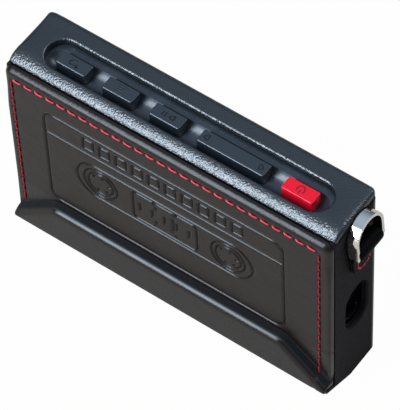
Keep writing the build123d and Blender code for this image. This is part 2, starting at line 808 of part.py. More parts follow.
with BuildPart() as usb_socket:
    with BuildSketch(Plane.XY.offset(player_z)):
        with Locations((usb_x, usb_y)):
            SlotOverall(usb_w, usb_t)
            SlotOverall(usb_w - 2 * usb_shell, usb_t - 2 * usb_shell, mode=Mode.SUBTRACT)
    extrude(amount=usb_len)
    with BuildSketch(Plane.XY.offset(player_z + usb_len - usb_step)):
        with Locations((usb_x, usb_y)):
            SlotOverall(usb_w - usb_shell, usb_t - usb_shell)
    extrude(amount=usb_step)
    with Locations((usb_x, usb_y, player_z + usb_shell)):
        Box(usb_tongue_w, usb_tongue_t, usb_len - usb_step, align=(Align.CENTER, Align.CENTER, Align.MIN))
save(usb_socket.part, "usb_socket")

# The screen: a display bonded to the back of the touch glass
with BuildPart() as touch_glass:
    with BuildSketch(Plane.XZ.offset(-glass_in)):
        with Locations((0, (player_z + player_top) / 2)):
            RectangleRounded(
                2 * (player_x - glass_rim - seam_gap),
                player_top - player_z - 2 * (glass_rim + seam_gap),
                glass_r - seam_gap,
            )
    extrude(amount=-glass_t)
save(touch_glass.part, "touch_glass")

with BuildPart() as display:
    with BuildSketch(Plane.XZ.offset(-glass_in)):
        with Locations((0, window_z)):
            Rectangle(window_w + 2 * display_rim, window_h + 2 * display_rim)
    extrude(amount=display_t)
save(display.part, "display")

# The key strip with a switch under each key and a post under the rocker
with BuildPart() as key_strip:
    strip_len = 2 * (cavity_x - seam_gap)
    with Locations((0, channel_y, strip_top)):
        Box(strip_len, key_d + 2 * key_flange, strip_t, align=(Align.CENTER, Align.CENTER, Align.MAX))
save(key_strip.part, "key_strip")

rocker_x = key_x[3]
switch_x = [x for x in key_x if x != rocker_x] + [rocker_x - rocker_stem_x, rocker_x + rocker_stem_x]
with BuildPart() as key_switches:
    with BuildSketch(Plane.XY.offset(strip_top)):
        with Locations(*[(x, channel_y) for x in switch_x]):
            Circle(switch_r)
    extrude(amount=switch_t)
    chamfer(key_switches.edges().group_by(Axis.Z)[-1], length=switch_bevel)
save(key_switches.part, "key_switches")

flange_top = cavity_top
knuckle_z = flange_top - rocker_drop - flange_t - knuckle_r
with BuildPart() as rocker_post:
    with Locations((rocker_x, channel_y, strip_top)):
        Box(6 * knuckle_r, key_d, knuckle_z - strip_top, align=(Align.CENTER, Align.CENTER, Align.MIN))
    with Locations(Plane(origin=(rocker_x, channel_y, knuckle_z), x_dir=(1, 0, 0), z_dir=(0, 1, 0))):
        Cylinder(knuckle_r + bar_play, 2 * key_d, mode=Mode.SUBTRACT)
save(rocker_post.part, "rocker_post")


def key(name, x, width, drop, stems):
    """A key cap with a flange that keeps it in the housing and stems over its switches."""
    top = flange_top - drop
    with BuildPart() as cap:
        with BuildSketch(Plane.XY.offset(top)):
            with Locations((x, channel_y)):
                RectangleRounded(width, key_d, key_r)
        extrude(amount=key_top - top)
        fillet(cap.edges().group_by(Axis.Z)[-1], radius=key_edge_r)
        with BuildSketch(Plane.XY.offset(top)):
            with Locations((x, channel_y)):
                Rectangle(width + 2 * key_flange, key_d + 2 * key_flange)
        extrude(amount=-flange_t)
        if len(stems) > 1:
            with Locations((x, channel_y, top - flange_t)):
                Box(2 * knuckle_r, key_d, knuckle_r, align=(Align.CENTER, Align.CENTER, Align.MAX))
            with Locations(Plane(origin=(x, channel_y, knuckle_z), x_dir=(1, 0, 0), z_dir=(0, 1, 0))):
                Cylinder(knuckle_r, key_d)
        drop_left = rocker_travel if len(stems) > 1 else key_travel
        low = strip_top + switch_t + drop_left + seam_gap
        with BuildSketch(Plane.XY.offset(top - flange_t)):
            with Locations(*[(x + dx, channel_y) for dx in stems]):
                Circle(stem_r)
        extrude(amount=low - (top - flange_t))
    save(cap.part, name)


rocker_travel = (rocker_stem_x + stem_r) * sin(rocker_tilt * pi / 180)
key("back_key", key_x[0], key_w, 0, [0])
key("menu_key", key_x[1], key_w, 0, [0])
key("play_key", key_x[2], key_w, 0, [0])
key("skip_key", key_x[3], rocker_w, rocker_drop, [-rocker_stem_x, rocker_stem_x])
key("power_key", key_x[4], key_w, 0, [0])

print("ring lean", round(degrees(ring_lean), 2), "lean", round(degrees(lean), 2))
print("rocker pivot", rocker_x, channel_y, knuckle_z)
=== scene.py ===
# %% [markdown]
# # A leather case for a pocket music player
#
# This lesson dresses a ready-made solid model of a small leather case. The case holds a
# cassette-sized music player: its back is pressed with a cassette motif, its top is a flap
# with a slot for the player's keys, and a chromed ring hangs on its side.
# The solid model gives every size. Here we give it leather, thread, metal and light.

# %% Load the model
import math

import bpy
import numpy as np
from mathutils import Matrix, Quaternion, Vector


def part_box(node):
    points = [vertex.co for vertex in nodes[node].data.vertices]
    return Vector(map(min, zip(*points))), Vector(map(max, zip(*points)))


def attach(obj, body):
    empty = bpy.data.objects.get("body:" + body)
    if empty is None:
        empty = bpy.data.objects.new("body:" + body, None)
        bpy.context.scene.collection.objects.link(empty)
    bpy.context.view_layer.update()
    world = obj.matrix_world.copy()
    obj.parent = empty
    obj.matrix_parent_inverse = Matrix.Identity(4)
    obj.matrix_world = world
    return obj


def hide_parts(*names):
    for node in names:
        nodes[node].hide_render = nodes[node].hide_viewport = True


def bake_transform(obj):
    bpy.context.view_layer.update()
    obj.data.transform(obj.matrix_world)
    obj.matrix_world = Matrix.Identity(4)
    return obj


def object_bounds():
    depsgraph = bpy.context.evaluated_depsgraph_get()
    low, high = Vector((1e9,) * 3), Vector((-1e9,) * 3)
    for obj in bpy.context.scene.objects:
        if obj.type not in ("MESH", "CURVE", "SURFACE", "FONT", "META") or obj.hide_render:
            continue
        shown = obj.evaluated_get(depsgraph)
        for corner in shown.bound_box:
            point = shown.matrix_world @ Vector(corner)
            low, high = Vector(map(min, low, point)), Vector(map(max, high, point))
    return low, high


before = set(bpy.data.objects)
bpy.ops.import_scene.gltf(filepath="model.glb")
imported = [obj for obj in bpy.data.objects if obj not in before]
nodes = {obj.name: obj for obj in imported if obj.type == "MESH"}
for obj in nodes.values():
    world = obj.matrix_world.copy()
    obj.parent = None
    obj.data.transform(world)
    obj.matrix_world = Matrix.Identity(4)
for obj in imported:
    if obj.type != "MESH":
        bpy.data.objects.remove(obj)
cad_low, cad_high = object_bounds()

MM = 0.001
print("solid model, mm:", [round((b - a) / MM, 1) for a, b in zip(cad_low, cad_high)])


def box_mm(name):
    """A solid's lowest and highest corner in millimetres."""
    low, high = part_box(name)
    return np.array(low) / MM, np.array(high) / MM


# %% [markdown]
# ## Camera
#
# The case was photographed from high above its back, 39 degrees round to the right, with a
# long lens. The camera's place and turn were worked out from the case's corners, so it looks
# down at 54 degrees and is rolled by 3. A long lens keeps far edges nearly parallel.

# %% Camera
view_camera = bpy.data.objects.new("camera", bpy.data.cameras.new("camera"))
bpy.context.scene.collection.objects.link(view_camera)
view_camera.location = (0.30726, -0.38429, 0.71487)
view_camera.rotation_mode = "QUATERNION"
view_camera.rotation_quaternion = Quaternion((0.906877, 0.287648, 0.109002, 0.288012))
view_camera.data.sensor_width = 36.0
view_camera.data.lens = 290.4
view_camera.data.clip_start = 0.05
view_camera.data.clip_end = 20.0
bpy.context.scene.camera = view_camera
bpy.context.scene.view_settings.view_transform = "Standard"

# %% [markdown]
# ## Two helpers for materials
#
# A screen colour is written as a hex code, but light adds up in linear values, so one small
# function converts it. Another adds a node with its settings and links, which keeps each
# material below down to a few readable lines.


# %% Colour and node helpers
def linear(code):
    """An sRGB hex colour as linear red, green, blue and alpha: each channel is undone by its gamma curve."""
    channels = [int(code[i:i + 2], 16) / 255 for i in (1, 3, 5)]
    return (*[c / 12.92 if c <= 0.04045 else ((c + 0.055) / 1.055) ** 2.4 for c in channels], 1.0)


def node(tree, kind, links=None, **settings):
    """Adds one node: settings are its properties or its input values, links join its inputs to sockets."""
    made = tree.nodes.new(kind)
    for key, value in settings.items():
        if hasattr(made, key):
            setattr(made, key, value)
        else:
            made.inputs[int(key) if key.isdigit() else key.replace("_", " ")].default_value = value
    for key, socket in (links or {}).items():
        tree.links.new(socket, made.inputs[key])
    return made


def new_material(name):
    """An empty material with its node tree and output node."""
    material = bpy.data.materials.new(name)
    material.use_nodes = True
    material.node_tree.nodes.clear()
    return material, material.node_tree, material.node_tree.nodes.new("ShaderNodeOutputMaterial")


# %% [markdown]
# ## White paper and studio light
#
# The case stands on white paper under a pale sky. The camera, and rays that go through glass,
# see that sky plainly. Leather and paper are lit by a dimmer one, so the backdrop adds no
# light of its own. Gloss mirrors a third one, which grows from dim at eye level to bright
# overhead, as a studio's ceiling does: it gives the flap its slate colour.
# The paper is part glow and part real paper: the glow keeps it white, and the real part still
# takes the soft shadow of the case. Gloss sees little of the glow, or the black would turn grey.

# %% World
world = bpy.data.worlds.new("studio")
bpy.context.scene.world = world
world.use_nodes = True
tree = world.node_tree
tree.nodes.clear()
world_out = tree.nodes.new("ShaderNodeOutputWorld")
pale_sky = node(tree, "ShaderNodeBackground", Color=linear("#eef3f8"), Strength=1.0)
dim_sky = node(tree, "ShaderNodeBackground", Color=linear("#e3edf8"), Strength=0.3)
direction = tree.nodes.new("ShaderNodeTexCoord").outputs["Generated"]
height = node(tree, "ShaderNodeSeparateXYZ", {0: direction}).outputs["Z"]
ceiling = node(tree, "ShaderNodeMapRange", {"Value": height},
               From_Min=0.25, From_Max=0.95, To_Min=0.30, To_Max=1.0)
ceiling_sky = node(tree, "ShaderNodeBackground", {"Strength": ceiling.outputs[0]}, Color=linear("#a9bfd6"))
rays = tree.nodes.new("ShaderNodeLightPath").outputs
seen = node(tree, "ShaderNodeMath", {0: rays["Is Camera Ray"], 1: rays["Is Transmission Ray"]},
            operation="MAXIMUM")
dim_or_seen = node(tree, "ShaderNodeMixShader",
                   {0: seen.outputs[0], 1: dim_sky.outputs[0], 2: pale_sky.outputs[0]})
both = node(tree, "ShaderNodeMixShader",
            {0: rays["Is Glossy Ray"], 1: dim_or_seen.outputs[0], 2: ceiling_sky.outputs[0]})
tree.links.new(both.outputs[0], world_out.inputs[0])

# %% Paper
seen_glow, mirrored_glow = 0.98, 0.12
paper, tree, out = new_material("white_paper")
real = node(tree, "ShaderNodeBsdfDiffuse", Color=linear("#cdc4ba"))
glow = node(tree, "ShaderNodeEmission", Color=linear("#ffffff"), Strength=1.0)
rays = tree.nodes.new("ShaderNodeLightPath").outputs
seen = node(tree, "ShaderNodeMath", {0: rays["Is Camera Ray"], 1: rays["Is Transmission Ray"]},
            operation="MAXIMUM")
seen = node(tree, "ShaderNodeMath", {0: seen.outputs[0]}, operation="MULTIPLY", **{"1": seen_glow})
mirrored = node(tree, "ShaderNodeMath", {0: rays["Is Glossy Ray"]}, operation="MULTIPLY",
                **{"1": mirrored_glow})
share = node(tree, "ShaderNodeMath", {0: seen.outputs[0], 1: mirrored.outputs[0]}, operation="ADD")
both = node(tree, "ShaderNodeMixShader", {0: share.outputs[0], 1: real.outputs[0], 2: glow.outputs[0]})
tree.links.new(both.outputs[0], out.inputs[0])

reach = 3.0
floor_mesh = bpy.data.meshes.new("floor")
floor_corners = [(-reach, -reach, 0), (reach, -reach, 0), (reach, reach, 0), (-reach, reach, 0)]
floor_mesh.from_pydata(floor_corners, [], [(0, 1, 2, 3)])
floor_mesh.transform(Matrix.Translation((0, 0, cad_low.z - 0.0002)))
floor = bpy.data.objects.new("floor", floor_mesh)
floor_mesh.materials.append(paper)
bpy.context.scene.collection.objects.link(floor)


# %% [markdown]
# ## Lamps
#
# The streaks on the rounded edges show where the real lamp hung: in front of the back panel,
# to the left and at half height. One tall softbox goes there, so that edges that run across
# the case carry a broad streak. A weak one on the other side lifts the front.


# %% Lamps
def softbox(name, place, size, watts, colour):
    """A rectangular lamp that faces the middle of the case."""
    lamp = bpy.data.lights.new(name, "AREA")
    lamp.shape = "RECTANGLE"
    lamp.size, lamp.size_y = size
    lamp.energy = watts
    lamp.color = linear(colour)[:3]
    holder = bpy.data.objects.new(name, lamp)
    holder.location = place
    holder.rotation_mode = "QUATERNION"
    holder.rotation_quaternion = (Vector((0, 0, 0.035)) - Vector(place)).to_track_quat("-Z", "Y")
    bpy.context.scene.collection.objects.link(holder)


softbox("key_softbox", (-0.31, -0.70, 0.56), (0.25, 1.10), 12.3, "#e0f0ff")
softbox("front_softbox", (0.35, 0.75, 0.60), (0.60, 0.45), 3.0, "#f4f7ff")

# %% [markdown]
# ## Surfaces from arrays
#
# Every new piece is a grid of points worked out with numpy. One function turns such a grid
# into a mesh. A grid may close on itself in either direction, as a tube or a ring does.


# %% Grid helper
def grid_object(name, points, material, around=False, along=False, body="case", matt_and_shade=None):
    """A mesh from points[i, j] in millimetres, or from many such grids: each cell of four
    neighbours is a face. around closes the second direction on itself, along the first.
    The last argument, from 0 to 1 at each point, is kept as an attribute that the leather reads: it marks points as
    matt and painted darker as shade."""
    points = np.asarray(points, float)
    rows, columns = points.shape[-3:-1]
    cell_rows, cell_columns = rows if along else rows - 1, columns if around else columns - 1
    i, j = np.meshgrid(np.arange(cell_rows), np.arange(cell_columns), indexing="ij")
    i2, j2 = (i + 1) % rows, (j + 1) % columns
    faces = np.stack([i * columns + j, i * columns + j2, i2 * columns + j2, i2 * columns + j], -1)
    faces = faces.reshape(1, -1, 4)
    grids = points.size // (3 * rows * columns)
    polygons = (faces + np.arange(grids)[:, None, None] * rows * columns).reshape(-1, 4).tolist()
    mesh = bpy.data.meshes.new(name)
    mesh.from_pydata((points.reshape(-1, 3) * MM).tolist(), [], polygons)
    mesh.polygons.foreach_set("use_smooth", np.ones(len(polygons), bool))
    mesh.materials.append(material)
    if matt_and_shade is not None:
        kept = mesh.attributes.new("matt_and_shade", "FLOAT", "POINT")
        kept.data.foreach_set("value", np.ravel(matt_and_shade).astype(np.float32))
    mesh.update()
    piece = bpy.data.objects.new(name, mesh)
    bpy.context.scene.collection.objects.link(piece)
    if body:
        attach(piece, body)
    print(name, "faces:", len(polygons))
    return piece


# %% [markdown]
# ## Leather
#
# Case leather is split cowhide, dyed black and finished with a thin coat, then plated with a
# grain. The grain is a net of tiny cushions, and a cell pattern gives exactly that. A real
# cushion is about 0.3 mm across, which is one pixel here, so it is drawn 0.5 mm wide: just
# coarse enough to show. It breaks every streak of light into sparks. Where a point is marked,
# in the bottom of a pressed line or in the crease over the ridge, the leather is made rougher
# and its colour is painted darker, as the shade that falls there.


# %% Leather
def leather(name, colour, shade, rough, gloss, cell, depth, fold=0.0, ior=1.5):
    """Coated leather: cells of cell millimetres raise it by depth millimetres, soft folds 9 mm
    apart by fold, a cloudy noise mixes two dyes, and marked places are rougher and painted darker as shade."""
    cloud_size, matt_rough = 9.0, 0.65
    material, tree, out = new_material(name)
    place = tree.nodes.new("ShaderNodeTexCoord").outputs["Object"]
    cells = node(tree, "ShaderNodeTexVoronoi", {"Vector": place}, feature="SMOOTH_F1",
                 Scale=1 / (cell * MM), Smoothness=0.35)
    clouds = node(tree, "ShaderNodeTexNoise", {"Vector": place},
                  Scale=1 / (cloud_size * MM), Detail=4.0, Roughness=0.6).outputs["Fac"]
    dye = node(tree, "ShaderNodeMix", {"Factor": clouds}, data_type="RGBA",
               **{"6": linear(colour), "7": linear(shade)})
    matt_and_shade = node(tree, "ShaderNodeAttribute", attribute_name="matt_and_shade").outputs["Fac"]
    # Marked places are painted near black, as shade in the pressed lines and in the crease over the ridge
    painted_shade_dye = node(tree, "ShaderNodeMix", {"Factor": matt_and_shade, 6: dye.outputs[2]}, data_type="RGBA",
                 **{"7": linear("#040304")})
    extra = node(tree, "ShaderNodeMath", {0: matt_and_shade}, operation="MULTIPLY", **{"1": matt_rough})
    uneven = node(tree, "ShaderNodeMapRange", {"Value": clouds}, To_Min=rough - 0.05, To_Max=rough + 0.06)
    roughness = node(tree, "ShaderNodeMath", {0: uneven.outputs[0], 1: extra.outputs[0]}, operation="ADD")
    folds = node(tree, "ShaderNodeBump", {"Height": clouds}, Distance=fold * MM, Strength=1.0)
    bump = node(tree, "ShaderNodeBump", {"Height": cells.outputs["Distance"], "Normal": folds.outputs[0]},
                invert=True, Distance=depth * MM, Strength=1.0)
    skin = node(tree, "ShaderNodeBsdfPrincipled",
                {"Base Color": painted_shade_dye.outputs[2], "Roughness": roughness.outputs[0], "Normal": bump.outputs[0]},
                IOR=ior, Specular_IOR_Level=gloss)
    tree.links.new(skin.outputs[0], out.inputs[0])
    return material


# Plated flat by the hot plate that pressed the motif: little grain, soft folds, clean streaks
pressed_leather = leather("pressed_leather", "#160c08", "#20140e", 0.29, 0.36, 0.50, 0.016, fold=0.2)
# The same hide rubbed smooth over the ridge, so its crest carries one unbroken streak
burnished_leather = leather("burnished_leather", "#120a07", "#1b110c", 0.27, 0.50, 0.50, 0.002, fold=0.08)
# Pebbled and waxed, on the flap and the front: the wax coat is shinier and bends light more
pebbled_leather = leather("pebbled_leather", "#080b0e", "#0e1216", 0.31, 1.0, 0.50, 0.075, ior=1.56)
# Unwaxed, with a deep open grain: the walls stay nearly black
wall_leather = leather("wall_leather", "#18171a", "#252427", 0.52, 0.05, 0.50, 0.16)
# Thin and soft, with its grain pulled flat
strap_leather = leather("strap_leather", "#0e0e0f", "#161617", 0.40, 0.03, 0.45, 0.05)

# %% [markdown]
# ## Metal, plastic, glass and cloth
#
# The other finishes share one recipe: a base colour that drifts towards a second one in
# patches of a real size, a roughness that drifts with it, and a bump of a real height.
# Only its numbers differ, from bead-blasted anodised aluminium to brushed cloth.


# %% Finishes
def finish(name, colour, shade, rough, gloss=0.5, metal=0.0, grain=0.3, height=0.004):
    """A finish whose colour and roughness drift in patches of grain millimetres, raised by
    height millimetres."""
    material, tree, out = new_material(name)
    place = tree.nodes.new("ShaderNodeTexCoord").outputs["Object"]
    drift = node(tree, "ShaderNodeTexNoise", {"Vector": place},
                 Scale=1 / (grain * MM), Detail=3.0, Roughness=0.6).outputs["Fac"]
    dye = node(tree, "ShaderNodeMix", {"Factor": drift}, data_type="RGBA",
               **{"6": linear(colour), "7": linear(shade)})
    roughness = node(tree, "ShaderNodeMapRange", {"Value": drift},
                     To_Min=rough * 0.85, To_Max=min(rough * 1.15, 1.0))
    bump = node(tree, "ShaderNodeBump", {"Height": drift}, Distance=height * MM, Strength=1.0)
    coat = node(tree, "ShaderNodeBsdfPrincipled",
                {"Base Color": dye.outputs[2], "Roughness": roughness.outputs[0], "Normal": bump.outputs[0]},
                Metallic=metal, Specular_IOR_Level=gloss)
    tree.links.new(coat.outputs[0], out.inputs[0])
    return material


# Bead blasting leaves pits of 0.05 mm, drawn 0.15 mm wide: they only soften what the metal mirrors
blasted_housing = finish("blasted_anodised_aluminium", "#2b333b", "#343d46", 0.36, 0.9, grain=0.15, height=0.003)
# Moulded keys with a satin spray coat, and one with red lacquer, which keeps its colour in any light
satin_key = finish("satin_black_keys", "#20272e", "#262e36", 0.33, 0.9, grain=0.12, height=0.002)
red_key = finish("red_lacquered_key", "#f8122c", "#ff1a34", 0.30, 0.35, grain=0.2, height=0.001)
# Polished, then plated: a mirror that bends only with the ring
chrome = finish("polished_chrome", "#efe8df", "#f4eee6", 0.05, metal=1.0, grain=6.0, height=0.0005)
# Barrel-plated small parts: a softer mirror with a warm tone
nickel = finish("nickel_plate", "#c9c6bd", "#d4d1c9", 0.22, metal=1.0, grain=0.8, height=0.002)
# Moulded parts: black sockets that swallow light, ivory switches
socket_plastic = finish("moulded_black_socket", "#08080a", "#0c0c0e", 0.55, 0.2, grain=0.2, height=0.002)
switch_plastic = finish("switch_plastic", "#d9d4c6", "#e4dfd2", 0.5, grain=0.3, height=0.004)
# Brushed cloth, pressed board and cut foam: no streak at all, only a fine unevenness
microfibre = finish("brushed_microfibre", "#15151a", "#212127", 0.95, 0.1, grain=0.10, height=0.05)
greyboard = finish("pressed_greyboard", "#6d675d", "#817a6e", 0.9, 0.2, grain=0.35, height=0.03)
foam = finish("eva_foam", "#1b1b1d", "#26262a", 0.85, 0.2, grain=0.25, height=0.05)
# Printed solder mask over copper, and crinkled pouch foil
solder_mask = finish("green_solder_mask", "#0c3a24", "#104a2e", 0.35, grain=1.2, height=0.01)
battery_foil = finish("battery_pouch_foil", "#9da3a8", "#b6bbc0", 0.38, metal=0.9, grain=3.0, height=0.05)
# Polished glass, printed black on its back, over a dark display
screen_glass = finish("black_cover_glass", "#050507", "#07070a", 0.06, grain=20.0, height=0.0002)
display_stack = finish("display_stack", "#0b0b0e", "#111116", 0.3, grain=2.0, height=0.001)
# Signs on the keys: dark beads whose colour paints the shade inside engraved strokes
red_mark = finish("dark_power_mark", "#7a0c1a", "#8a1222", 0.45, grain=0.1, height=0.003)
grey_mark = finish("dark_key_marks", "#07090b", "#0c0f12", 0.35, grain=0.1, height=0.003)

worn_by = {
    pebbled_leather: ["flap_leather", "hinge_fold", "front_panel"],
    pressed_leather: ["back_panel"],
    wall_leather: ["side_band", "flap_tongue"],
    strap_leather: ["ring_strap"],
    microfibre: ["wall_lining", "flap_lining"],
    greyboard: ["back_board", "flap_board"],
    foam: ["ridge_core", "base_pad", "back_pad"],
    nickel: ["case_magnets", "flap_magnets", "shield_cans", "usb_socket", "board_screws"],
    chrome: ["ring"],
    blasted_housing: ["player_housing"],
    satin_key: ["back_key", "menu_key", "play_key", "skip_key"],
    red_key: ["power_key"],
    solder_mask: ["main_board", "port_board", "key_strip"],
    battery_foil: ["battery"],
    socket_plastic: ["small_jack", "large_jack"],
    screen_glass: ["touch_glass"],
    display_stack: ["display"],
    switch_plastic: ["key_switches", "rocker_post"],
}
for material, names in worn_by.items():
    for name in names:
        worn = nodes[name].data.materials
        worn.clear()
        worn.append(material)
dressed = {name for names in worn_by.values() for name in names}
print("nodes with no finish:", sorted(set(nodes) - dressed))

# %% [markdown]
# ## The pressed back
#
# The back is one sheet of leather over a board: flat on top, then down a soft step onto the
# foot ridge, whose ends are mitred like a roof's hips, then round the toe. The sheet is a
# grid with one column for each place across. Its rows run straight through the motif and
# bend to follow the ridge, so that the step is crisp along the hips too.
# Sizes are in millimetres. x runs across the case, y from back to front, and z is the height.

# %% Sizes of the back
back_low, back_high = box_mm("back_panel")
panel_x, panel_in, panel_top = back_high
# The flat face, the ridge's crest, hips and slanted foot, as the solid model has them
panel_y = -10.0
ridge_y = back_low[1]
ridge_out = panel_y - ridge_y
crest_z, hip_x, hip_slope = 17.4, 36.0, 0.812
foot_z, foot_run = 4.6, 11.7
# Rounding of the rim and of the upper corners, and where the two grids of the sheet meet
edge_r, corner = 1.8, 2.4
join_z = 18.95
print("panel, mm:", panel_x, panel_top, "ridge stands out", ridge_out)


# %% Motif distances
def rounded_box(x, z, cx, cz, w, h, r):
    """Distance to the outline of a rounded rectangle, negative inside: corners are quarter circles."""
    qx, qz = np.abs(x - cx) - w / 2 + r, np.abs(z - cz) - h / 2 + r
    return np.hypot(np.maximum(qx, 0), np.maximum(qz, 0)) + np.minimum(np.maximum(qx, qz), 0) - r


def line(x, z, x0, z0, x1, z1):
    """Distance to a straight stroke: to its nearest point."""
    dx, dz = x1 - x0, z1 - z0
    t = np.clip(((x - x0) * dx + (z - z0) * dz) / (dx * dx + dz * dz), 0, 1)
    return np.hypot(x - x0 - t * dx, z - z0 - t * dz)


def groove(distance, width=0.31, depth=0.42):
    """A pressed line: a smooth trough, deepest where the distance is nought."""
    return depth * np.exp(-(np.abs(distance) / width) ** 2.6)


# The motif's sizes were read off the photographed back
motif_x, hub_z = -1.0, 37.5
hub_x, hub_rings = (-20.9, 18.8), (5.2, 3.9)
tooth_r, tooth_half, teeth = 2.85, 0.25, 6
# Rounded rectangles: middle x and z, width, height, corner radius
label_box = (motif_x, 37.85, 73.5, 36.1, 3.0)
tape_box = (motif_x, hub_z, 54.6, 13.1, 6.5)
pane_box = (-0.7, hub_z, 19.8, 10.6, 1.2)
header_z, block_z, block_size = 47.9, 51.9, (3.1, 3.7, 0.4)
spool_out, spool_r = 14.4, 12.0
window_ticks, tick_low, tick_high = -8.4 + 3.8 * np.arange(5), 36.2, 39.0
block_x = -23.9 + 5.1 * np.arange(10)


def motif(x, z):
    """How deep the hot plate pressed the leather at each point: the deepest of all its strokes.
    Hub teeth are six short bars on a circle, found from the angle round the hub."""
    label, pane = rounded_box(x, z, *label_box), rounded_box(x, z, *pane_box)
    strokes = [groove(label), groove(pane), groove(rounded_box(x, z, *tape_box))]
    strokes.append(groove(np.where(label < 0, z - header_z, 9)))
    for side in (-1, 1):
        spool = np.hypot(x - pane_box[0] - side * spool_out, z - hub_z) - spool_r
        strokes.append(groove(np.where(pane < 0, spool, 9)))
    for tick in window_ticks:
        strokes.append(groove(line(x, z, tick, tick_low, tick, tick_high)))
    for cx in hub_x:
        r, turn = np.hypot(x - cx, z - hub_z), np.arctan2(z - hub_z, x - cx)
        strokes += [groove(r - ring) for ring in hub_rings]
        tooth = np.abs((turn * teeth / math.tau + 0.3) % 1 - 0.5) * math.tau / teeth * 3.0
        strokes.append(groove(np.hypot(tooth, np.maximum(np.abs(r - tooth_r) - tooth_half, 0)), 0.36))
    for cx in block_x:
        strokes.append(groove(rounded_box(x, z, cx, block_z, *block_size)))
    return np.max(strokes, axis=0)


# %% Stitch holes
def stitch_ends(start, end, pitch, length, slant):
    """Both ends of each stitch on a seam from start to end: equal steps, each stitch turned a little by slant."""
    start, end = np.array(start, float), np.array(end, float)
    span = np.linalg.norm(end - start)
    count = int(round(span / pitch))
    along = (end - start) / span
    across = np.array([-along[1], along[0]])
    middles = start + along * (np.arange(count) + 0.5)[:, None] * span / count
    half = along * length / 2 + across * slant / 2
    return np.stack([middles - half, middles + half], 1)


seam_z, left_x, right_x, left_low, right_low = 61.9, -47.4, 46.5, 10.3, 4.9
seam_top = stitch_ends((-47.3, seam_z), (46.0, seam_z), 3.42, 2.75, -0.35)
seam_left = stitch_ends((left_x, 60.8), (left_x, left_low), 3.4, 2.9, 0.30)
seam_right = stitch_ends((right_x, 60.8), (right_x, right_low), 3.4, 2.9, 0.30)
back_seams = np.concatenate([seam_top, seam_left, seam_right])
print("stitches on the back:", len(back_seams))


def needle_marks(x, z):
    """The thread pulls the leather in: a shallow channel along the seams, with a bell curve as
    its section, and a bell-shaped pit at every stitch end."""
    channel_deep, channel_wide, pit_deep, pit_wide = 0.10, 0.55, 0.35, 0.3
    seams = [(-47.3, seam_z, 46.0, seam_z), (left_x, seam_z, left_x, left_low), (right_x, seam_z, right_x, right_low)]
    away = np.min([line(x, z, *seam) for seam in seams], axis=0)
    near = away < 1.6
    px, pz = x[near], z[near]
    pits = np.zeros_like(px)
    for hx, hz in back_seams.reshape(-1, 2):
        pits = np.maximum(pits, pit_deep * np.exp(-((px - hx) ** 2 + (pz - hz) ** 2) / pit_wide**2))
    depth = np.zeros_like(x)
    depth[near] = channel_deep * np.exp(-(away[near] / channel_wide) ** 2) + pits
    return depth


# %% Ridge outline and step
def outline_z(x):
    """Height of the ridge's upper outline: level in the middle, then down both hips, with a softened bend."""
    bend = 0.5
    return crest_z - hip_slope * bend * np.log1p(np.exp((np.abs(x) - hip_x) / bend))


def step_profile(count=9):
    """The step from the flat to the ridge's face, as distance inwards and height:
    a tight hollow arc of 0.15 mm, a steep wall, and a round arc of 2.2 mm."""
    run, hollow, crown = 0.6, 0.15, 2.2
    steep = math.atan2(ridge_out, run)
    a = np.linspace(0, steep, count)
    lower = np.stack([-run - hollow * math.tan(steep / 2) + hollow * np.sin(a), hollow * (1 - np.cos(a))], 1)
    a = a[::-1]
    upper = np.stack([crown * math.tan(steep / 2) - crown * np.sin(a), ridge_out - crown * (1 - np.cos(a))], 1)
    return np.concatenate([lower, upper])


# %% Spacing
def spacing(start, stop, wide, *zones):
    """Places from start to stop, wide apart, and closer in each zone (marks, reach, step): the density of
    places is summed along the way, and the places are read back where the sum is a whole number."""
    way = np.linspace(start, stop, 8001)
    step = np.full(len(way), float(wide))
    for marks, reach, fine in zones:
        near = np.min(np.abs(way[:, None] - np.atleast_1d(marks)), axis=1) < reach
        step = np.where(near, np.minimum(step, fine), step)
    total = np.concatenate([[0], np.cumsum(np.diff(way) / step[1:])])
    return np.interp(np.linspace(0, total[-1], int(np.ceil(total[-1])) + 1), total, way)


rim = edge_r * (1 - np.cos(np.linspace(0, math.pi / 2, 10)))


def with_sides(inner_x):
    """Columns across the panel: the given ones, a rounded rim at both ends, and three that go down each side."""
    left, right = np.full(3, -panel_x), np.full(3, panel_x)
    x = np.concatenate([left, -panel_x + rim[:-1], inner_x, panel_x - rim[::-1][1:], right])
    down = np.concatenate([[1, 2 / 3, 1 / 3], np.zeros(len(x) - 6), [1 / 3, 2 / 3, 1]])
    return x, down


# %% [markdown]
# The two upper corners are rounded in plan. A square corner of the grid is squeezed into a
# quarter disc, which keeps its rows and columns even, and then the rim falls away in a
# quarter circle towards the side.


# %% Placing the sheet
def squeezed(x, z, side_x, end_z, r):
    """Square corners of a grid turned into quarter discs of radius r: each coordinate in a
    corner shrinks by the root of one less half the other's square."""
    a = np.clip((np.abs(x) - side_x + r) / r, 0, 1)
    b = np.clip((z - end_z + r) / r, 0, 1)
    near = (a > 0) & (b > 0)
    corner_x = np.sign(x) * (side_x - r + r * a * np.sqrt(1 - b * b / 2))
    corner_z = end_z - r + r * b * np.sqrt(1 - a * a / 2)
    return np.where(near, corner_x, x), np.where(near, corner_z, z)


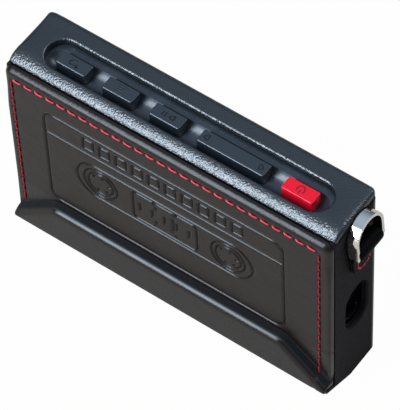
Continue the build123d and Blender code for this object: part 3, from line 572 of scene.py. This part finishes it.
def place_sheet(x, z, rise, down, sunk=0.0):
    """Points of the back sheet, and how far each is marked matt and painted shade: rise is the height over the flat,
    the rim drops by a quarter circle near the edge, tighter on the ridge and the sides, the motif and
    needle marks are pressed in, and down leads the outer columns to the inner side."""
    x, z, rise = (np.array(v) for v in np.broadcast_arrays(x, z, rise))
    x, z = squeezed(x, z, panel_x, panel_top, corner)
    inside = -rounded_box(x, z, 0, panel_top - 100, 2 * panel_x, 200, corner)
    round_r = np.interp(z, [8.0, join_z, 50.0, 58.0], [0.6, 1.0, 1.0, edge_r])
    short = np.clip(round_r - inside, 0, round_r)
    drop = round_r - np.sqrt(np.maximum(round_r**2 - short**2, 0))
    pressed = np.where(inside > edge_r * 0.6, motif(x, z) + needle_marks(x, z), 0)
    y = panel_y - rise + drop + pressed + sunk
    deep = np.maximum(y, np.interp(z, [3.0, 12.0], [-9.0, panel_in]))
    # Pressed points from 0.30 mm deep are marked rougher and painted dark as shade, fully at 0.42 mm
    matt_shade_from, matt_shade_over = 0.30, 0.12
    return np.stack([x, y + (deep - y) * down, z], -1), np.clip((pressed - matt_shade_from) / matt_shade_over, 0, 1)


# %% Flat part with the motif
# Zones of closer columns and rows: places, reach to both sides, spacing there
seam_zone = ([left_x, right_x], 1.3, 0.26)
hub_zone = (np.concatenate([np.arange(-28.4, -15.2, 0.2), np.arange(13.2, 26.4, 0.2)]), 0.3, 0.19)
upright_zone = ([motif_x - 36.75, motif_x + 36.75, -10.6, 9.2], 0.55, 0.11)
tick_zone = (np.concatenate([window_ticks, block_x - 1.55, block_x + 1.55]), 0.45, 0.13)
flat_x = spacing(-panel_x + edge_r, panel_x - edge_r, 0.75, hub_zone, upright_zone, tick_zone, seam_zone)
flat_x, flat_down = with_sides(flat_x)

hub_rows = (np.arange(31.9, 43.2, 0.2), 0.3, 0.19)
level_rows = ([55.9, header_z, 44.05, 42.8, 32.2, 30.95, 19.8], 0.55, 0.11)
block_rows, seam_rows = ([50.05, 53.75], 0.5, 0.12), (seam_z, 1.3, 0.26)
flat_z = spacing(join_z, panel_top - edge_r, 0.8, hub_rows, level_rows, block_rows, seam_rows)
flat_z = np.concatenate([panel_top - rim[:-1], flat_z[::-1]])

flat_part, flat_matt_and_shade = place_sheet(flat_x, flat_z[:, None], 0.0, flat_down)
to_inner = np.linspace(1, 0, 4)[:-1, None, None] * np.array([0, 1, 0])
top_wall = to_inner * (panel_in - flat_part[:1, :, 1:2])
flat_part = np.concatenate([flat_part[:1] + top_wall, flat_part])
flat_matt_and_shade = np.concatenate([np.repeat(flat_matt_and_shade[:1], 3, axis=0), flat_matt_and_shade])
back_leather = grid_object("back_leather", flat_part[::-1], pressed_leather, matt_and_shade=flat_matt_and_shade[::-1])
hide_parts("back_panel")

# %% [markdown]
# Below the motif the sheet needs far fewer columns, but its rows bend with the ridge. So the
# ridge is a second grid, which starts a hair under the edge of the first. Towards the ends the
# ridge gets lower than its crest is round, so there the crest is squeezed into the room it has.

# %% Rows of the ridge
hip_zone = ([-hip_x, hip_x], 2.5, 0.2)
ridge_x = spacing(-panel_x + edge_r, panel_x - edge_r, 0.8, hip_zone, seam_zone)
ridge_x, ridge_down = with_sides(ridge_x)
step = step_profile()
crest_at = outline_z(ridge_x)
hip_share = 1 / (1 + np.exp(-(np.abs(ridge_x) - hip_x) / 0.5))
lean_out = np.sqrt(1 + (hip_slope * hip_share) ** 2)
toe_r = 1.0
toe_turn = math.pi / 2 - math.atan2(foot_z, foot_run)
toe_top = foot_z + toe_r * math.tan(toe_turn / 2)
room = np.minimum(1, 0.97 * (crest_at - toe_top) / (lean_out * step[-1, 0]))
ridge_rows = crest_at - np.where(step[:, :1] > 0, step[:, :1] * room, step[:, :1]) * lean_out

# %% Ridge part
ease = np.linspace(0, 1, 24)[:-1, None]
above = np.where(ease == 0, join_z + 0.3, join_z * (1 - ease) + ridge_rows[0] * ease)
fall = np.linspace(0, 1, 12)[1:, None]
face_rows = ridge_rows[-1] * (1 - fall) + toe_top * fall
turn = np.linspace(0, toe_turn, 8)[1:]
toe_z = toe_top - toe_r * np.sin(turn)
under_y = np.array([-12.0, -11.75, -11.70])
under_z = foot_z - (under_y - ridge_y) * foot_z / foot_run
low_rows = np.repeat(np.concatenate([toe_z, under_z])[:, None], len(ridge_x), axis=1)
ridge_z = np.concatenate([above, ridge_rows, face_rows, low_rows])
toe_rise = ridge_out - toe_r * (1 - np.cos(turn))
under_rise = ridge_out - (under_y - ridge_y)
rise = np.concatenate([np.zeros(len(above)), step[:, 1], np.full(len(face_rows), ridge_out), toe_rise, under_rise])
sunk = np.where(np.arange(len(rise)) == 0, 0.03, 0.0)
ridge_part, ridge_matt_and_shade = place_sheet(ridge_x, ridge_z, rise[:, None], ridge_down, sunk[:, None])
# The crease over the ridge is marked as well: rougher, and painted dark as the shade that falls there
crease = len(above) + np.array([-5, 0, 10, 12])
in_crease = np.interp(np.arange(len(rise)), crease, [0, 1, 1, 0])[:, None]
ridge_matt_and_shade = np.maximum(ridge_matt_and_shade, in_crease)
ridge_leather = grid_object("ridge_leather", ridge_part[::-1], burnished_leather, matt_and_shade=ridge_matt_and_shade[::-1])
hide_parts("back_panel")

# %% [markdown]
# ## Thread
#
# The seams are saddle stitches in waxed red polyester, 0.5 mm thick and laid in two twisted
# plies. Each stitch comes up out of one hole and dives into the next, so it is a short tube
# that arches over the leather, with a twist round its middle and both ends under the surface.

# %% Stitches
red_thread = finish("waxed_red_thread", "#dd2339", "#f55565", 0.42, gloss=0.4, grain=0.12, height=0.02)
# A darker copy of the same red thread: painted shade for the side and front seams
dark_thread = finish("shaded_red_thread", "#8d0c1b", "#bd2033", 0.45, gloss=0.3, grain=0.12, height=0.02)


def stitches(name, ends, outward, material, lift=0.12, radius=0.23):
    """Arched threads: a half sine above the line from each stitch's first end to its second, with
    a round section whose two lobes turn one and a half times along it and which shrinks to a
    point at both ends. The ends lie 0.16 mm under the surface."""
    under, lobe = 0.16, 0.16
    outward = np.broadcast_to(np.asarray(outward, float), (len(ends), 1, 3))
    starts, ends = ends[:, :1], ends[:, 1:]
    t = np.linspace(0, 1, 15)[None, :, None]
    middle = starts + (ends - starts) * t + outward * ((lift + under) * np.sin(math.pi * t) ** 0.5 - under)
    forward = (ends - starts) / np.linalg.norm(ends - starts, axis=2, keepdims=True)
    sideways = np.cross(forward, outward)
    phi = np.linspace(0, math.tau, 11)[:-1]
    lobes = 1 + lobe * np.cos(2 * phi[None, :] - 3 * math.pi * t[0])
    thick = radius * lobes * np.sqrt(1 - (2 * t[0] - 1) ** 6 + 1e-4)
    spokes = np.cos(phi)[:, None] * sideways[:, :, None, :] + np.sin(phi)[:, None] * outward[:, :, None, :]
    return grid_object(name, middle[:, :, None, :] + thick[None, :, :, None] * spokes, material, around=True)


def on_plane(ends, y):
    """Seam points in an upright plane, as three-dimensional points."""
    return np.stack([ends[..., 0], np.full(ends.shape[:-1], y), ends[..., 1]], -1)


side_ends = np.concatenate([seam_left, seam_right])
stitches("back_top_stitches", on_plane(seam_top, panel_y), (0, -1, 0), red_thread)
stitches("back_side_stitches", on_plane(side_ends, panel_y), (0, -1, 0), dark_thread, lift=0.08, radius=0.20)

# %% [markdown]
# ## The flap
#
# The flap is cut flat: a rectangle with a pill-shaped slot. It is then bent over the top,
# down behind the player as a lip, and forward over the fold onto the front. So its points
# are placed on the flat sheet first, on a grid that runs round the slot in one direction
# and from the slot to the outer edge in the other, and a second function bends the sheet.
# The same leather makes the hinge, where the sheet is bent over the fold between the case and the flap.

# %% Bending the sheet
lip_back, lip_round, lip_wide, lip_low = -7.6, 3.0, 5.2, 63.3
top_level, front_face, fold_round, tail_low = 67.5, 10.45, 1.7, 62.6
fold_mid, fold_high = front_face - fold_round, top_level - fold_round
lip_turn = np.linspace(0, math.pi / 2, 200)
lip_steps = np.hypot(np.diff(lip_wide * np.sin(lip_turn)), np.diff(lip_round * np.cos(lip_turn)))
lip_way = np.concatenate([[0], np.cumsum(lip_steps)])
# Lengths along the sheet: tail, fold, top, rounded back edge, lip
runs = np.array([fold_high - tail_low, fold_round * math.pi / 2, fold_mid - lip_back - lip_wide,
                 lip_way[-1], top_level - lip_round - lip_low])
marks = np.concatenate([[0], np.cumsum(runs)])
flap_x, plan_r = 49.75, 1.7
print("flap sheet, flat, mm:", 2 * flap_x, "by", round(marks[-1], 1))


def bend(x, s, inward):
    """Point of the bent sheet: up the front, a quarter circle, back over the top, a quarter ellipse 5.2 by 3 mm,
    down the lip. s is the length along it, and inward the depth below its outer face. The two front corners
    are then rounded in plan, as the corners of the back are."""
    k = [np.clip(s - marks[i], 0, runs[i]) for i in range(5)]
    fold, lip = k[1] / fold_round, np.interp(k[3], lip_way, lip_turn)
    size = np.hypot(lip_round * np.sin(lip), lip_wide * np.cos(lip))
    out_y, out_z = np.cos(fold) - lip_round * np.sin(lip) / size, np.sin(fold) * lip_wide * np.cos(lip) / size
    y = front_face - fold_round * (1 - np.cos(fold)) - k[2] - lip_wide * np.sin(lip) - out_y * inward
    z = tail_low + k[0] + fold_round * np.sin(fold) - lip_round * (1 - np.cos(lip)) - k[4] - out_z * inward
    x, y = squeezed(x, y, flap_x, front_face, plan_r)
    return np.stack([x, y, z], -1)


# %% Outlines of the flap
slot_s = marks[2] + fold_mid - 0.4
slot_run, slot_r = 38.2, 4.8
sheet_end = marks[-1]
# Rays from the slot's round end, closer together towards the sheet's two corners
sweep = [np.linspace(90, 46, 22), np.linspace(44, -48, 44), np.linspace(-50, -90, 20)]
sweep = np.radians(np.concatenate(sweep))
line_x = np.linspace(-slot_run, slot_run, 150)[1:-1]


def closed_outline(end_x, end_s, low_s, high_s):
    """Points round the slot or the sheet: the right end, the front side, the left end mirrored, the back side."""
    right, left = np.stack([end_x, end_s], 1), np.stack([-end_x[::-1], end_s[::-1]], 1)
    front = np.stack([line_x[::-1], np.full(len(line_x), low_s)], 1)
    back = np.stack([line_x, np.full(len(line_x), high_s)], 1)
    return np.concatenate([right, front, left, back])


reach_x = (flap_x - slot_run) / np.maximum(np.cos(sweep), 1e-6)
reach_s = np.where(sweep > 0, sheet_end - slot_s, slot_s) / np.maximum(np.abs(np.sin(sweep)), 1e-6)
far = np.minimum(reach_x, reach_s)
inner = closed_outline(slot_run + slot_r * np.cos(sweep), slot_s + slot_r * np.sin(sweep),
                       slot_s - slot_r, slot_s + slot_r)
outer = closed_outline(slot_run + far * np.cos(sweep), slot_s + far * np.sin(sweep), 0.0, sheet_end)
across = outer - inner
width = np.linalg.norm(across, axis=1)[None, :, None]
print("points round the slot:", len(inner))

# %% [markdown]
# Across the sheet, from the slot to the rim, the rows are: the slot's wall, a rounded edge,
# the face, the rim's rounded edge, the rim's wall, and back along the underside. The rim is
# rounder at the sides, where the leather is padded over the board. The face swells by 0.07 mm
# in the middle and by 0.3 mm round the fold, as a bent hide does.

# %% Rows of the flap
# The skin is thin at the tail and the lip, and thick where it is padded over the top
slot_edge = 0.6
skin_marks = [0, marks[1], marks[2], marks[3], marks[4] - 1, marks[5]]
skin_thick = [0.7, 0.9, 2.03, 2.03, 1.0, 1.0]
at_side = np.clip((np.abs(outer[:, 0]) - flap_x + 0.4) / 0.4, 0, 1)
side_r = 0.72 * np.interp(outer[:, 1], skin_marks, skin_thick)
outer_edge = 0.45 + at_side * np.clip(side_r - 0.45, 0, 1.1)
arc = np.linspace(0, math.pi / 2, 7)
share = np.linspace(0, 1, 34)[1:-1]
edge_rows = 1 + len(arc)
plan = np.zeros((len(share) + 2 * edge_rows, len(outer), 1))
plan[1:edge_rows] = (slot_edge * (1 - np.cos(arc)))[:, None, None]
plan[-edge_rows:-1] = (outer_edge * (1 - np.cos(arc))[:, None])[::-1, :, None]
base = np.concatenate([np.zeros(edge_rows), share, np.ones(edge_rows)])[:, None, None]
inset = slot_edge + (width - slot_edge - outer_edge[None, :, None]) * base
distance = np.where((base > 0) & (base < 1), inset, np.where(base < 1, plan, width - plan))
flat = inner + across * distance / width

# %% Flap
depth = np.concatenate([[1.0], 1 - np.sin(arc), np.zeros(len(share)), 1 - np.sin(arc[::-1]), [1.0]])
thickness = np.interp(flat[..., 1], skin_marks, skin_thick)
edge_size = np.zeros(flat.shape[:2])
edge_size[:edge_rows] = slot_edge
edge_size[-edge_rows:] = outer_edge
inward = np.minimum(depth[:, None] * edge_size, thickness * 0.8)
inward[0], inward[-1] = thickness[0], thickness[-1]
swell = 0.07 * np.sin(math.pi * np.clip(base[..., 0], 0, 1)) ** 0.7 * (inward == 0)
bulge = 0.30 * np.exp(-((flat[..., 1] - (marks[1] + marks[2]) / 2) / 3.0) ** 2)
under_flat = inner + across * np.linspace(1, 0, 10)[1:-1, None, None]
under_depth = np.interp(under_flat[..., 1], skin_marks, skin_thick)
flat_all = np.concatenate([flat, under_flat])
inward_all = np.concatenate([inward - swell - bulge, under_depth])
skin_points = bend(flat_all[..., 0], flat_all[..., 1], inward_all)
flap_skin = grid_object("flap_skin", skin_points[:, ::-1], pebbled_leather, around=True, along=True, body=None)
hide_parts("flap_leather", "hinge_fold")
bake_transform(flap_skin)

# %% [markdown]
# ## The strap of the ring
#
# A strip of thin leather goes up from a rivetless seam on the wall, round the ring's bar and
# down again, and the two layers are sewn together in a U. A strip has a rounded rectangle
# as its section, which is carried along a smooth curve through a few given points.


# %% Smooth curve
def smooth_curve(points, steps):
    """A cubic B-spline through given points: each span blends four of them, and the ends are held."""
    p = np.asarray(points, float)
    p = np.concatenate([2 * p[:1] - p[1:2], p, 2 * p[-1:] - p[-2:-1]])
    t = np.linspace(0, len(p) - 3, steps)
    k = np.minimum(t.astype(int), len(p) - 4)
    f = (t - k)[:, None]
    first, second = (1 - f) ** 3, 3 * f**3 - 6 * f**2 + 4
    third, fourth = -3 * f**3 + 3 * f**2 + 3 * f + 1, f**3
    return (first * p[k] + second * p[k + 1] + third * p[k + 2] + fourth * p[k + 3]) / 6


# %% Strap
bar_x, bar_z, loop_r, strap_y, strap_low = 52.3, 56.6, 1.72, 2.1, 45.3
turns = np.radians(np.linspace(180, -90, 7))
loop = [(bar_x + loop_r * math.cos(a), bar_z + loop_r * math.sin(a)) for a in turns]
# Given points across and up: the inner layer, the loop round the bar, the outer layer
going_up = [(50.42, strap_low), (50.42, 48), (50.42, 51), (50.44, 53.6), (50.55, 55.2)]
coming_down = [(51.7, 53.9), (51.22, 52.6), (51.12, 51), (51.12, 48), (51.12, strap_low)]
strap_line = smooth_curve([*going_up, *loop, *coming_down], 150)
height_on = strap_line[:, 1]
run_way = np.gradient(strap_line, axis=0)
run_way /= np.linalg.norm(run_way, axis=1, keepdims=True)
strap_thick = np.interp(height_on, [52.4, 54.6], [0.70, 1.30])
tip = np.clip(2.0 - (height_on - strap_low), 0, 2)
strap_width = np.interp(height_on, [strap_low, 52.6], [7.0, 9.2]) - 2 * (2.0 - np.sqrt(4 - tip**2 + 1e-9))
phi = np.linspace(0, math.tau, 33)[:-1]
wide = np.sign(np.cos(phi)) * np.abs(np.cos(phi)) ** 0.22
tall = np.sign(np.sin(phi)) * np.abs(np.sin(phi)) ** 0.45
from_end = np.minimum(np.arange(150), np.arange(150)[::-1])
closing = np.clip(from_end / 2.0, 0.05, 1) ** 0.5
strap_across = strap_y + wide * (strap_width * (0.9 + 0.1 * closing))[:, None] / 2
offset = tall * (strap_thick * closing)[:, None] / 2
strap_x, strap_z = strap_line[:, :1] + run_way[:, 1:] * offset, strap_line[:, 1:] - run_way[:, :1] * offset
strap_points = np.stack([strap_x, strap_across, strap_z], -1)
strap_skin = grid_object("strap_skin", strap_points, strap_leather, around=True)
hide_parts("ring_strap")

# %% Stitches on the strap
u_path = [(-0.5, 51.6), (-0.45, 49.5), (-0.3, 47.6), (1.3, 46.7), (2.9, 46.7), (4.5, 47.6), (4.65, 49.5), (4.7, 51.6)]
u_points = np.array([(51.50, y, z) for y, z in u_path])
gap = 0.12 * (u_points[1:] - u_points[:-1])
u_ends = np.stack([u_points[:-1] + gap, u_points[1:] - gap], 1)
stitches("strap_stitches", u_ends, (1, 0, 0), red_thread, lift=0.05, radius=0.22)

# %% [markdown]
# ## Black plates round the sockets, as painted shade
#
# Inside the slot of the wall the player's metal side lies in shade, and a thin black plate with
# one hole for each socket paints that shade over it. Half the plate is a grid of rays from the
# middle of a socket: each ray starts on the hole and ends on the slot's outline or on the line
# between the two halves.

# %% Socket plates
port_y, port_z, port_tall, port_r = 1.6, 28.4, 16.0, 4.6
plate_x = box_mm("player_housing")[1][0] + 0.08
# Near black and without gloss: painted shade inside the slot
socket_shade_black = finish("painted_shade_socket_plate", "#050506", "#08080a", 0.9, gloss=0.0, grain=0.3, height=0.01)


def half_plate(name, middle_z, hole_r, side):
    """Rays from the socket's middle: each ends where it first leaves the pill of the slot or its own half of it."""
    turn = np.linspace(0, math.tau, 73)[:-1]
    tries = np.linspace(hole_r, 12, 600)
    y, z = tries * np.cos(turn)[:, None], middle_z + tries * np.sin(turn)[:, None]
    in_pill = rounded_box(y, z, 0, port_z, 2 * port_r, port_tall, port_r) < 0
    inside = in_pill & (side * (z - port_z) > 0)
    last = np.maximum(np.sum(np.cumprod(inside, axis=1), axis=1) - 1, 0)
    share = np.array([0, 0, 0.03, 0.08, 0.55, 1.0])[:, None]
    radius = hole_r + (tries[last] - hole_r) * share
    x = plate_x + np.array([-0.07, 0.05, 0.09, 0.10, 0.10, 0.10])[:, None] + 0 * radius
    points = np.stack([x, port_y + radius * np.cos(turn), middle_z + radius * np.sin(turn)], -1)
    return grid_object(name, points, socket_shade_black, around=True)


half_plate("upper_socket_plate", 32.4, 2.05, 1)
half_plate("lower_socket_plate", 24.4, 2.55, -1)

# %% Stitches on the front
front_x, front_low, front_high, front_y = 47.4, 2.6, 60.9, 10.0
front_seams = [stitch_ends((-front_x, z), (front_x, z), 3.42, 2.75, 0.3) for z in (front_low, front_high)]
front_seams += [stitch_ends((x, 3.4), (x, 60.2), 3.4, 2.75, 0.3) for x in (-front_x, front_x)]
front_ends = on_plane(np.concatenate(front_seams), front_y)
stitches("front_stitches", front_ends, (0, 1, 0), dark_thread, lift=0.0, radius=0.2)

# %% [markdown]
# ## Signs on the keys
#
# The keys carry the usual generic signs: return, menu, play and pause, previous and next,
# and power. They face the reader at the screen side, so their up is towards the back. Each
# stroke is a low half-round bead laid on its key and moving with it, and its dark colour
# paints the shade inside an engraved stroke.


# %% Beads
def beads(name, strokes, centre, material, body, wide=0.40, high=0.07, steps=28):
    """Low half-round strokes on a key's top: each is resampled at equal steps and given a
    half-ellipse section that closes at both ends."""
    made = []
    for stroke in strokes:
        p = np.asarray(stroke, float)
        gone = np.concatenate([[0], np.cumsum(np.linalg.norm(np.diff(p, axis=0), axis=1))])
        at = np.linspace(0, gone[-1], steps)
        q = np.stack([np.interp(at, gone, p[:, 0]), np.interp(at, gone, p[:, 1])], 1)
        way = np.gradient(q, axis=0)
        way /= np.linalg.norm(way, axis=1, keepdims=True)
        phi = np.linspace(0, math.tau, 9)[:-1]
        close = np.sqrt(np.clip(np.minimum(at, at[::-1]) / (wide / 2), 0.02, 1))[:, None]
        a = np.cos(phi) * wide / 2 * close
        lift = np.sin(phi) * high * close
        x = centre[0] - q[:, :1] + way[:, 1:] * a
        y = centre[1] - q[:, 1:] - way[:, :1] * a
        made.append(np.stack([x, y, centre[2] + lift], -1))
    return grid_object(name, np.array(made), material, around=True, body=body)


def arc_stroke(r, start, stop, cx=0.0, cy=0.0):
    """Points on a circle from one angle in degrees to another."""
    a = np.radians(np.linspace(start, stop, 30))
    return np.stack([cx + r * np.cos(a), cy + r * np.sin(a)], 1)


def key_centre(name):
    """The middle of a key's top, in millimetres."""
    low, high = box_mm(name)
    return (low[0] + high[0]) / 2, -0.1, high[2] + 0.004


# %% Signs
turn_back = np.concatenate([[(-1.3, 0.75)], arc_stroke(0.75, 90, -90, 0.55, 0.0), [(-0.6, -0.75)]])
arrow_head = [(-0.6, 1.35), (-1.35, 0.75), (-0.6, 0.15)]
beads("return_sign", [turn_back, arrow_head], key_centre("back_key"), grey_mark, "back_button")

menu_bars = [[(-1.2, y), (1.2, y)] for y in (-1.05, -0.35, 0.35, 1.05)]
beads("menu_sign", menu_bars, key_centre("menu_key"), grey_mark, "menu_button", wide=0.32)

play_mark = [(-1.9, 0.9), (-1.9, -0.9), (-0.3, 0.0), (-1.9, 0.9)]
pause_bars = [[(x, -0.85), (x, 0.85)] for x in (0.7, 1.6)]
beads("play_sign", [play_mark, *pause_bars], key_centre("play_key"), grey_mark, "play_button")

skip_marks = [[(m * 7.6, 0.95), (m * 7.6, -0.95), (m * 9.0, 0.0), (m * 7.6, 0.95)] for m in (-1, 1)]
beads("skip_signs", skip_marks, key_centre("skip_key"), grey_mark, "skip_rocker", wide=0.30)

power_mark = [arc_stroke(1.05, 125, 415), [(0, 0.1), (0, 1.35)]]
beads("power_sign", power_mark, key_centre("power_key"), red_mark, "power_button", wide=0.36)
